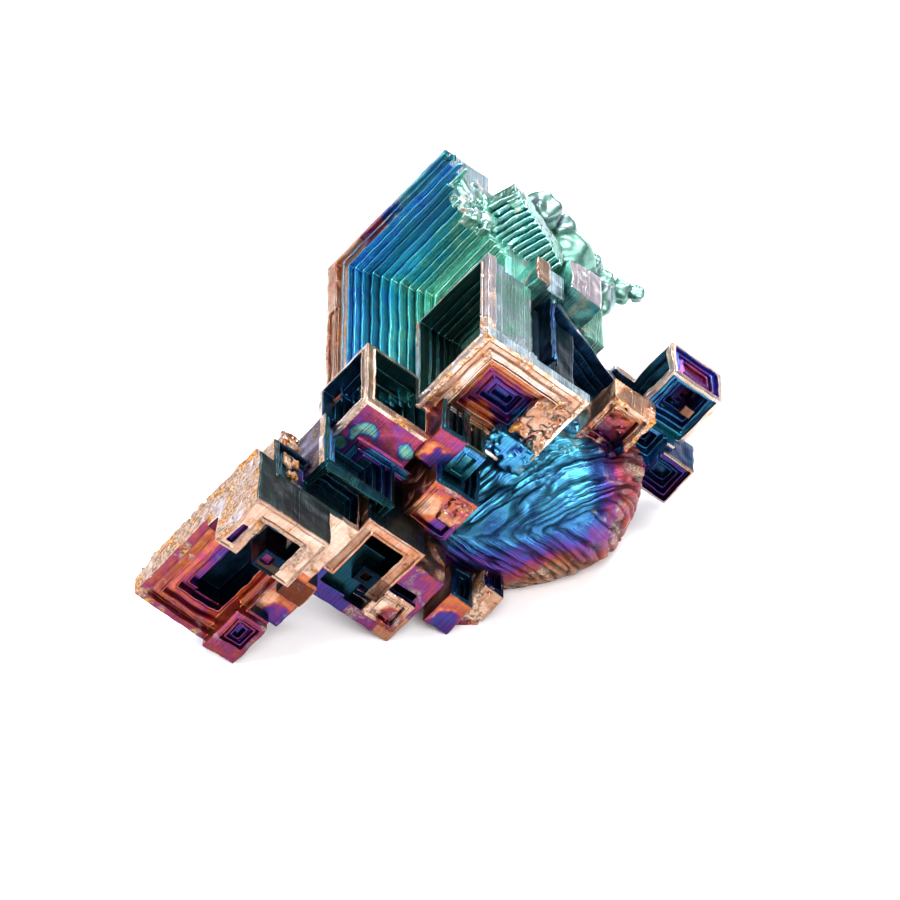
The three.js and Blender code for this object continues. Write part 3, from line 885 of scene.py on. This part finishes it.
# The crystals at the far right: one with pits on two faces, a blade below it and one under that,
# made dark by painted shade.
shaded_low, shaded_high = (9.4, -18.0, -10.9), (13.9, -13.7, -6.6)
low, high = (6.2, -24.2, -8.6), (12.0, -18.2, -4.0)
blade_low, blade_high = (4.6, -19.4, -10.0), (11.2, -15.0, -5.0)
stepped_crystal(
    "far_right_crystal",
    [
        grow(shaded_low, shaded_high),
        # Painted shade over the lowest crystal and in its pit, deeper steps darker.
        paint((9.4, -18.2, -11.6), (14.0, -13.4, -6), film=0.5, crust=0.0, shade=0.4),
        paint((9.4, -18.2, -11.6), (14.0, -13.4, -10.7), film=0.1, crust=0.2, shade=0.2),
        *pit(
            shaded_low, shaded_high, "-c", 4, run=0.45, drop=0.3, rims={"a": (0.2, 0.25), "b": (0.2, 0.25)},
            first=0.2, film=(0.46, 0.04), shade=(0.35, 0.14), seed=26,
        ),
        grow((3.8, -18.9, -9.4), (10.2, -11.4, -3.8)),
        grow(blade_low, blade_high),
        # Painted shade deeper in the blade's pit.
        *pit(
            blade_low, blade_high, "-c", 5, run={"a": (0.4, 0.5), "b": (0.45, 0.3)}, drop=0.5,
            rims={"a": (0.9, 0.9), "b": (0.5, 0.8)}, film=(0.66, -0.05), shade=(0.0, 0.22), seed=25,
        ),
        grow(low, high),
        # Painted shade in the pit of the left face, painted light in the pit of the upper right face, and
        # painted shade deeper in the front pit.
        *pit(
            low, high, "-a", 4, run=0.5, drop=0.7, rims={"b": (0.6, -1), "c": (0.6, 0.5)},
            film=(0.66, 0.02), shade=(0.45, 0.1), seed=19,
        ),
        *pit(
            low, high, "-b", 3, run={"a": (0.6, 0.5), "c": (0.6, 0.6)}, drop=0.16,
            rims={"a": (0.5, 0.6), "c": (0.3, 0.5)}, film=(0.5, -0.06), first=0.2, shade=(-0.5, 0.0),
            seed=20,
        ),
        *pit(
            low, high, "-c", 7, run={"a": (0.5, 0.2), "b": (0.25, 0.42)}, drop=0.42,
            rims={"a": (0.35, 0.5), "b": (0.4, 0.3)}, film=(0.69, -0.045), first=0.35, shade=(0.0, 0.1),
            seed=23,
        ),
        grow((9.4, -22.0, -8.9), (10.6, -21.0, -7.0)),
        paint((9.2, -22.2, -9.5), (10.8, -20.8, -8.9), film=0.22, crust=0.2),
        *pit(low, high, "+c", 3, run=0.7, drop=0.4, seed=24),
    ],
    film=0.08,
    crust=0.22,
    waver=0.12,
    nibble=0.5,
    seed=111,
)

# The terraced stack at the top. It shares the c axis but is turned about it, and its front is a
# comb of ledges that climb to the back, pale where they catch the light and paler with painted
# light on them.
STACK_AT = (-12.7, -25.0)
left, front = STACK_AT
back = front + 6
LEDGES = 12
LEDGE_STEP = 0.62  # from one ledge to the next along a, mm
LEDGE_GAP = 0.26  # width of the groove between two ledges, mm
LEDGE_RISE = 0.16  # how much further forward each ledge reaches, mm
ledges = []
for k in range(LEDGES):
    start = left + 0.5 + LEDGE_STEP * k
    edge = start + LEDGE_GAP
    groove = (edge, back, 1.8 - LEDGE_RISE * k)
    ledge = (start + LEDGE_STEP, back, 1.35 - LEDGE_RISE * k)
    # Painted light on the ledges and, less, in the grooves between them.
    ledges.append(cut((start, front - 1, -4), groove, film=0.82, shade=-0.3))
    ledges.append(cut((edge, front - 1, -4), ledge, film=0.93, crust=0.15, shade=-1.3))
stepped_crystal(
    "terraced_stack",
    [
        grow((left, front, -0.6), (left + 8.0, front + 5.4, 2.8)),
        cut((left - 1, front - 1, -2), (left + 0.5, back, 1.4)),
        *ledges,
        paint((left - 1, front + 3.4, -1), (left + 2.4, back, 3), crust=0.36),
        paint((left + 0.4, front - 1, -1), (left + 1.9, front + 1.3, 3), crust=0.38),
    ],
    film=0.93,
    crust=0.2,
    turn=STACK_TURN,
    pivot=STACK_AT,
    waver=0.17,
    nibble=2.2,
    seed=121,
)
low, high = (-2.6, -20.4, -5.2), (1.4, -11.4, 3.2)
stepped_crystal(
    "stack_blocks",
    [
        grow((-9.2, -19.2, -1.0), (-1.2, -11.2, 6.0)),
        grow(low, high),
        *pit(low, high, "+c", 3, seed=27),
        grow((-4.9, -23.2, -4.6), (-1.3, -18.3, 0.0)),
        paint((-6, -24, -5), (-1, -23.2, 1), film=-0.08, crust=0.0),
        # Painted shade on the faces in front of the middle block.
        paint((-6, -24, -6), (-1, -17, -4.6), film=0.8, shade=0.4),
        grow((-7.2, -22.5, -6.0), (-5.2, -17.5, -2.6)),
        paint((-8, -23.5, -7), (-5, -22.4, -2), film=1.0, crust=0.0),
        grow((-9.0, -23.4, -6.8), (-7.5, -19.5, -3.6)),
        paint((-9.2, -24.5, -7), (-7.4, -23.3, -3), film=0.17, crust=0.35),
    ],
    film=0.86,
    crust=0.2,
    waver=0.14,
    nibble=1.3,
    seed=131,
)

# Crumbs: small cubes of bismuth that froze on broken ends and along crusted edges when the
# cluster was lifted out. Each row is a piece: its name, the box that its cubes lie in, how many
# there are, the least and the greatest size, their film and crust, and the seed.
CRUMB_STEP = 0.2  # the cubes keep to this grid, mm
CRUMBS = [
    ("hopper_end_crumbs", (-17.2, -22.4, -3.0), (-12.2, -20.2, 4.4), 110, (0.5, 1.3), 0.93, 0.28, 151),
    ("stack_crumbs", (-10.6, -19.6, -3.6), (-7.6, -17.4, 1.0), 70, (0.5, 1.4), 0.92, 0.3, 152),
    ("post_crumbs", (-6.4, -21.0, -20.6), (-2.3, -15.2, -18.8), 90, (0.3, 1.2), 0.24, 0.5, 153),
    ("azure_crumbs", (-7.4, -15.8, -20.9), (-2.3, -12.0, -18.4), 80, (0.3, 1.5), 0.64, 0.05, 158),
    ("left_crust", (-26.35, -5.4, -32.6), (-25.2, 10.6, -28.6), 230, (0.4, 1.1), 0.2, 0.75, 154),
    ("link_crust", (-23.9, -5.9, -31.0), (-21.4, -3.0, -24.0), 100, (0.4, 1.0), 0.2, 0.6, 155),
    ("orange_crust", (-8.6, -11.3, -27.3), (-6.0, -7.6, -26.1), 60, (0.4, 1.0), 0.3, 0.5, 157),
]
for name, low, high, count, (smallest, largest), film, crust, seed in CRUMBS:
    draw = np.random.default_rng(seed)
    part = draw.uniform(0, 1, (count, 3))
    part[:, 2] = np.sqrt(part[:, 2])
    start = low + part * (np.array(high) - largest - low)
    size = draw.uniform(smallest, largest, (count, 3))
    start = np.round(start / CRUMB_STEP) * CRUMB_STEP
    size = np.maximum(np.round(size / CRUMB_STEP), 1) * CRUMB_STEP
    shift = draw.uniform(-0.07, 0.1, count)
    boxes = [grow(*crumb, crust) for crumb in zip(start, start + size, film + shift)]
    stepped_crystal(name, boxes, film=film, crust=crust, nibble=0.55 / crust, melt=2, waver=0.13, seed=seed)

# Crystals underneath and behind, which carry the cluster on the surface. They grew into one
# another, each with a hopper in the face that looks away from the others. Each row is a crystal's
# corners, that face, the run of its terraces and the seed.
UNDERNEATH = [
    ((-9.0, -13.0, -17.0), (0.6, -0.6, 0.0), "+b", 0.9, 28),
    ((-13.0, -9.0, -20.0), (-4.0, 0.4, -4.0), "+b", 0.9, 29),
    ((-2.0, -16.4, -14.0), (7.0, -9.4, -2.0), "+a", 0.7, 30),
    ((-6.0, -8.0, -2.0), (2.0, 1.0, 7.0), "+c", 0.8, 32),
]
boxes = [grow(low, high) for low, high, *_ in UNDERNEATH]
for low, high, face, run, seed in UNDERNEATH:
    boxes += pit(low, high, face, 4, run=run, seed=seed)
stepped_crystal(
    "footing",
    boxes,
    film=0.5,
    crust=0.15,
    drift=(0.01, 0.0, 0.01),
    pitch=1.2,
    nibble=0.4,
    seed=141,
)

# The ribbed body at the lower right: a low dome of bismuth that froze last, so its flank and top
# are combed with grooves. Its film runs from azure on the top to violet on the flank and gold at
# the foot. Its surface is the profile carried round the middle, less the grooves.
ROUND_OXIDE = oxide_bismuth("oxide_film_and_shade_on_round_bismuth", rounded_off=True)
DOME_MIDDLE = (7.2, -14.6)
DOME_STRETCH = 1.1
DOME_PROFILE = [
    (0.0, -0.6), (5.4, -0.6), (7.8, 1.8), (8.9, 5.0), (9.4, 8.4), (6.4, 10.6), (2.6, 12.6), (0.0, 13.2),
]
DOME_GROOVE = 0.36
DOME_TAIL = (math.radians(-128), math.radians(38), 0.34)  # way, half width and size of its tail
RIB_WIDTH = 0.44  # mean width of a rib, mm
FAN_WAY = math.radians(36)  # plan direction of the ribs on the top
FAN_RUN, FLANK_RUN = 0.12, 0.14  # how fast the ribs change lengthways, against across them
FLANK_RADIUS = 9.4  # radius at which the ribs of the flank are laid out
FLANK_LEAN = 0.75  # how far a rib on the flank moves along for each mm down
CREST = 8.2  # height of the crest between the flank and the top
GOLD_AT = (9.4, -23.5, 2.6)  # middle of a golden patch low on the flank, and how far it spreads
GOLD_SPREAD = 2.6
AROUND = 620  # grid points round the dome
around = np.linspace(math.pi / 2, 2.5 * math.pi, AROUND, endpoint=False)
along = np.concatenate([np.linspace(0, 1, 4), np.linspace(1, 4, 62)[1:], np.linspace(4, 7, 92)[1:]])
outline = np.array(DOME_PROFILE)
radius = np.interp(along, np.arange(len(outline)), outline[:, 0])
height = np.interp(along, np.arange(len(outline)), outline[:, 1])
angle, radius = np.meshgrid(around, radius)
height = np.repeat(height[:, None], len(around), axis=1)
from_tail = (angle - DOME_TAIL[0] + math.pi) % (2 * math.pi) - math.pi
radius = radius * (1 + DOME_TAIL[2] * np.exp(-((from_tail / DOME_TAIL[1]) ** 2)))
x = DOME_MIDDLE[0] + DOME_STRETCH * radius * np.cos(angle)
y = DOME_MIDDLE[1] + radius * np.sin(angle)
fan = np.stack([y * math.cos(FAN_WAY) - x * math.sin(FAN_WAY), FAN_RUN * x, 0 * x], axis=2)
fan = fan.reshape(-1, 3)
flank = np.stack([FLANK_RADIUS * angle + FLANK_LEAN * height, FLANK_RUN * height, 0 * x + 9], axis=2)
flank = flank.reshape(-1, 3)
top = np.clip((height.ravel() - CREST) / 0.8, 0, 1)
rib_noise = wander(fan, RIB_WIDTH, 211) * top + wander(flank, RIB_WIDTH * 1.2, 212) * (1 - top)
groove = np.clip(1 - 3.0 * np.abs(rib_noise), 0, 1).reshape(radius.shape) ** 0.8
dig = DOME_GROOVE * groove * np.clip(radius / 3, 0, 1) * np.where(height < 0, 0, 1)
steep = np.clip((height - CREST) / 2.0, 0, 1)
reach = np.maximum(radius - dig * (1 - 0.8 * steep), 0)
x = DOME_MIDDLE[0] + DOME_STRETCH * reach * np.cos(angle) + CENTRE_SHIFT[0]
y = DOME_MIDDLE[1] + reach * np.sin(angle) + CENTRE_SHIFT[1]
dome = np.stack([x, y, height - dig * steep], axis=2).reshape(-1, 3)
crinkle = 0.12 + 0.25 * np.clip((dome[:, 2] - 10) / 2.5, 0, 1)
dome += crinkle[:, None] * np.stack([wander(dome, 1.1, 200 + i) for i in range(3)], axis=1)
rows, columns = radius.shape
row, column = np.meshgrid(np.arange(rows - 1), np.arange(columns), indexing="ij")
here, beside = row * columns + column, row * columns + (column + 1) % columns
quads = np.stack([here, beside, beside + columns, here + columns], axis=2).reshape(-1, 4)
level = dome[quads.ravel(), 2]
right = np.clip((dome[quads.ravel(), 0] - CENTRE_SHIFT[0] - 12.0) / 3.5, 0, 1)
dome_film = np.interp(level, [0, 2, 4.5, 7.5, 10, 13], [0.22, 0.28, 0.45, 0.58, 0.66, 0.68])
crusted = np.interp(level, [0, 1.2, 2.8], [0.6, 0.4, 0.05])
from_gold = dome[quads.ravel()] - np.array([*CENTRE_SHIFT, 0]) - np.array(GOLD_AT)
gold = np.exp(-((np.linalg.norm(from_gold, axis=1) / GOLD_SPREAD) ** 2))
dome_film = dome_film * (1 - gold) + 0.24 * gold
crusted = np.maximum(crusted, 0.52 * gold)
values = np.stack(
    [
        dome_film * (1 - right) + 0.36 * right,
        np.maximum(crusted, 0.42 * right),
        # Painted shade, darkest in the grooves.
        0.8 * dig.ravel()[quads.ravel()] / DOME_GROOVE,
    ],
    axis=1,
)
piece = put_in_scene("ribbed_body", dome, quads, values, ROUND_OXIDE)
comb = (fan[:, 0] * top + flank[:, 0] * (1 - top))[quads.ravel()] * MM
piece.data.attributes.new("comb", "FLOAT", "CORNER").data.foreach_set("value", comb.astype(np.float32))

# Round blobs that froze on the right end of the stack. Each is a centre and a radius, and they
# flow together where they meet.
BLOBS = [
    (8.3, 6.5, 21.8, 1.8),
    (10.2, 6.5, 19.8, 1.5),
    (11.6, 6.0, 18.0, 1.3),
    (12.8, 5.6, 16.4, 1.3),
    (14.0, 5.0, 15.2, 1.2),
    (15.6, 5.0, 14.2, 1.1),
    (17.0, 5.0, 13.9, 0.8),
    (13.4, 3.6, 14.6, 1.9),
    (10.4, 4.4, 18.0, 2.6),
]
BALL_ROUND, BALL_RISE = 96, 48  # cells round a ball and from pole to pole
UNEVEN = 0.2  # how uneven a ball is, as a part of its radius


def ball(centre, radius, seed):
    """A ball on a grid of longitude and latitude, with a slow noise on its radius."""
    turn = np.linspace(0, 2 * math.pi, BALL_ROUND, endpoint=False)
    turn, rise = np.meshgrid(turn, np.linspace(-1, 1, BALL_RISE + 1) * math.pi / 2)
    way = np.stack([np.cos(rise) * np.cos(turn), np.cos(rise) * np.sin(turn), np.sin(rise)], axis=2)
    way = way.reshape(-1, 3)
    points = np.array(centre) + way * radius
    points += way * radius * UNEVEN * wander(points, radius * 0.5, seed)[:, None]
    row, column = np.meshgrid(np.arange(BALL_RISE), np.arange(BALL_ROUND), indexing="ij")
    here, beside = row * BALL_ROUND + column, row * BALL_ROUND + (column + 1) % BALL_ROUND
    faces = np.stack([here, beside, beside + BALL_ROUND, here + BALL_ROUND], axis=2).reshape(-1, 4)
    return points + np.array([*CENTRE_SHIFT, 0]), faces


for number, (x, y, z, radius) in enumerate(BLOBS):
    points, faces = ball((x, y, z), radius, 300 + number)
    # The third value, 0.3, is an even painted shade over the blob.
    values = np.tile([0.97 - 0.03 * (number % 3), 0.06, 0.3], (faces.size, 1))
    put_in_scene(f"frozen_blob_{number + 1}", points, faces, values, ROUND_OXIDE)

# The floor and the light of a small photo tent: a plain pale sheet, one large soft light from
# above and behind, one from the left and one from the front.
floor_mesh = bpy.data.meshes.new("floor")
floor_mesh.from_pydata([(-2, -2, 0), (2, -2, 0), (2, 2, 0), (-2, 2, 0)], [], [(0, 1, 2, 3)])
floor = bpy.data.objects.new("floor", floor_mesh)
bpy.context.scene.collection.objects.link(floor)
sheet = bpy.data.materials.new("white_sheet")
sheet.use_nodes = True
sheet.node_tree.nodes["Principled BSDF"].inputs["Base Color"].default_value = linear("#F4F4F6")
sheet.node_tree.nodes["Principled BSDF"].inputs["Roughness"].default_value = 0.9
floor_mesh.materials.append(sheet)


def soft_light(name, place, size, power):
    """A square area light that faces the middle of the cluster."""
    data = bpy.data.lights.new(name, "AREA")
    data.size = size
    data.energy = power
    lamp = bpy.data.objects.new(name, data)
    lamp.location = place
    aim = np.array([0, 0, 0.01]) - np.array(place)
    lamp.rotation_euler = Vector(aim).to_track_quat("-Z", "Y").to_euler()
    bpy.context.scene.collection.objects.link(lamp)


soft_light("key_light", (0.16, 0.26, 0.42), 0.34, 4.6)
soft_light("left_light", (-0.5, -0.1, 0.4), 0.35, 4.2)
soft_light("front_light", (0.1, -0.5, 0.45), 0.4, 5.5)
world = bpy.data.worlds.new("tent")
world.use_nodes = True
sky = add_node(world.node_tree, "ShaderNodeTexCoord")
sky = add_node(world.node_tree, "ShaderNodeSeparateXYZ", [(0, sky, "Generated")])
sky = add_node(world.node_tree, "ShaderNodeValToRGB", [("Fac", sky, "Z")])
colour_stops(sky, [(0.0, "#3A3E46"), (0.22, "#4A4E56"), (0.42, "#F0F4F8"), (1.0, "#FFFFFF")])
background = world.node_tree.nodes["Background"]
world.node_tree.links.new(sky.outputs["Color"], background.inputs["Color"])
background.inputs["Strength"].default_value = 0.72
bpy.context.scene.world = world
bpy.context.scene.view_settings.view_transform = "Standard"
bpy.context.scene.view_settings.gamma = 0.9

# The camera: 35 degrees above the horizon, turned the way of the c axis, with a long lens, so
# that the lattice's edges stay parallel in the picture.
ELEVATION = math.radians(35)
LENS = 400.0
SENSOR = 36.0
VIEW_WIDTH = 81 * MM  # the photo's 900 pixels at 0.09 mm each
AIM = np.array([1.76, 0.37, 10.0]) * MM
distance = VIEW_WIDTH * LENS / SENSOR
camera_data = bpy.data.cameras.new("camera")
camera_data.lens = LENS
camera_data.sensor_width = SENSOR
camera = bpy.data.objects.new("camera", camera_data)
camera.location = AIM + distance * np.array([0, -math.cos(ELEVATION), math.sin(ELEVATION)])
camera.rotation_euler = (math.pi / 2 - ELEVATION, 0, 0)
bpy.context.scene.collection.objects.link(camera)
bpy.context.scene.camera = camera
